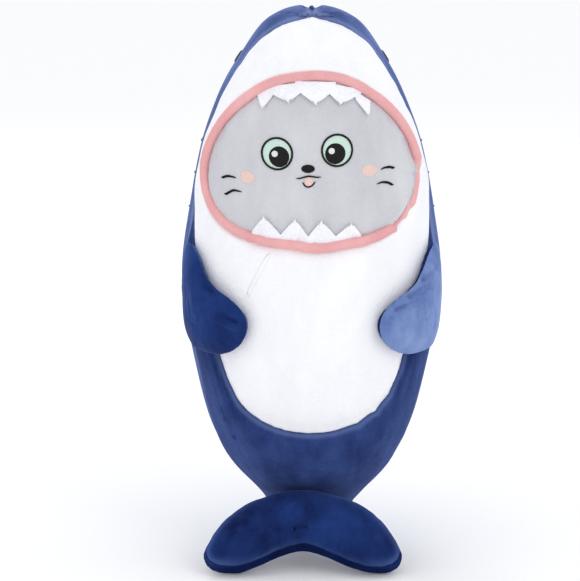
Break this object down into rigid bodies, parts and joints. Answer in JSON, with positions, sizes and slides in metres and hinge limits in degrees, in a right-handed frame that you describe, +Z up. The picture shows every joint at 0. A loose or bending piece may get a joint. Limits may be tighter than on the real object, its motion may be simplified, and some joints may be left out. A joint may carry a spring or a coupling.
{
  "type": "plush shark",
  "caption": "Stuffed plush shark that sits upright on its tail, with a pink rimmed mouth, felt teeth, a stitched cat face inside it, side fins, a back fin and a forward folded tail fluke.",
  "frame": {"origin": "on the floor, under the middle of the toy's bounding box", "axes": "+Z up from the tail to the nose, the belly faces -Y, +X to the right as seen from the front"},
  "size_m": [0.2684, 0.3046, 0.55],
  "materials": {
    "blue_plush": "short velvety pile, soft sheen",
    "white_plush": "short velvety pile, soft sheen",
    "gray_plush": "short velvety pile, soft sheen",
    "pink_plush": "short velvety pile over a soft cord",
    "white_felt": "matt needle felt",
    "black_thread": "satin stitch embroidery, soft gloss",
    "white_thread": "satin stitch embroidery, soft gloss",
    "mint_thread": "satin stitch embroidery, soft gloss",
    "peach_thread": "satin stitch embroidery, soft gloss",
    "polyester_filling": "loose crimped fibre, hidden inside"
  },
  "bodies": {
    "body": {"body_filling": "polyester_filling", "back_panel_left": "blue_plush", "back_panel_right": "blue_plush", "belly_panel": "white_plush", "lower_front_panel": "blue_plush", "face_panel": "gray_plush", "lip_piping": "pink_plush", "tooth_upper_1": "white_felt", "tooth_upper_2": "white_felt", "tooth_upper_3": "white_felt", "tooth_upper_4": "white_felt", "tooth_upper_5": "white_felt", "tooth_lower_1": "white_felt", "tooth_lower_2": "white_felt", "tooth_lower_3": "white_felt", "tooth_lower_4": "white_felt", "cat_eye_rim_left": "black_thread", "cat_eye_rim_right": "black_thread", "cat_pupil_left": "black_thread", "cat_pupil_right": "black_thread", "cat_nose": "black_thread", "cat_mouth_line": "black_thread", "cat_chin_line": "black_thread", "whisker_upper_left": "black_thread", "whisker_upper_right": "black_thread", "whisker_lower_left": "black_thread", "whisker_lower_right": "black_thread", "shark_eye_left": "black_thread", "shark_eye_right": "black_thread", "gill_left_1": "black_thread", "gill_left_2": "black_thread", "gill_left_3": "black_thread", "gill_right_1": "black_thread", "gill_right_2": "black_thread", "gill_right_3": "black_thread", "cat_glint_left": "white_thread", "cat_glint_right": "white_thread", "shark_glint_left": "white_thread", "shark_glint_right": "white_thread", "cat_iris_left": "mint_thread", "cat_iris_right": "mint_thread", "cheek_left": "peach_thread", "cheek_right": "peach_thread", "cat_tongue": "peach_thread"},
    "left_pectoral_fin": {"pectoral_fin_left_filling": "polyester_filling", "pectoral_fin_left_front_panel": "blue_plush", "pectoral_fin_left_back_panel": "blue_plush"},
    "right_pectoral_fin": {"pectoral_fin_right_filling": "polyester_filling", "pectoral_fin_right_front_panel": "blue_plush", "pectoral_fin_right_back_panel": "blue_plush"},
    "dorsal_fin": {"dorsal_fin_filling": "polyester_filling", "dorsal_fin_front_panel": "blue_plush", "dorsal_fin_back_panel": "blue_plush"},
    "tail_fluke": {"tail_fluke_filling": "polyester_filling", "tail_fluke_front_panel": "blue_plush", "tail_fluke_back_panel": "blue_plush"}
  },
  "joints": [
    {"name": "left_pectoral_fin_swing", "type": "hinge", "parent": "body", "child": "left_pectoral_fin", "pos_m": [-0.1266, -0.0664, 0.27], "axis": [0, 0, -1], "range_deg": [0, 90], "stiffness_Nm_per_rad": 0.06},
    {"name": "right_pectoral_fin_swing", "type": "hinge", "parent": "body", "child": "right_pectoral_fin", "pos_m": [0.1266, -0.0664, 0.27], "axis": [0, 0, 1], "range_deg": [0, 90], "stiffness_Nm_per_rad": 0.06},
    {"name": "dorsal_fin_flex", "type": "hinge", "parent": "body", "child": "dorsal_fin", "pos_m": [0, 0.0827, 0.316], "axis": [0, 0, 1], "range_deg": [-30, 30], "stiffness_Nm_per_rad": 0.06},
    {"name": "tail_fluke_fold", "type": "hinge", "parent": "body", "child": "tail_fluke", "pos_m": [0, -0.0853, 0.0719], "axis": [-1, 0, 0], "range_deg": [-20, 40], "stiffness_Nm_per_rad": 1.5}
  ]
}
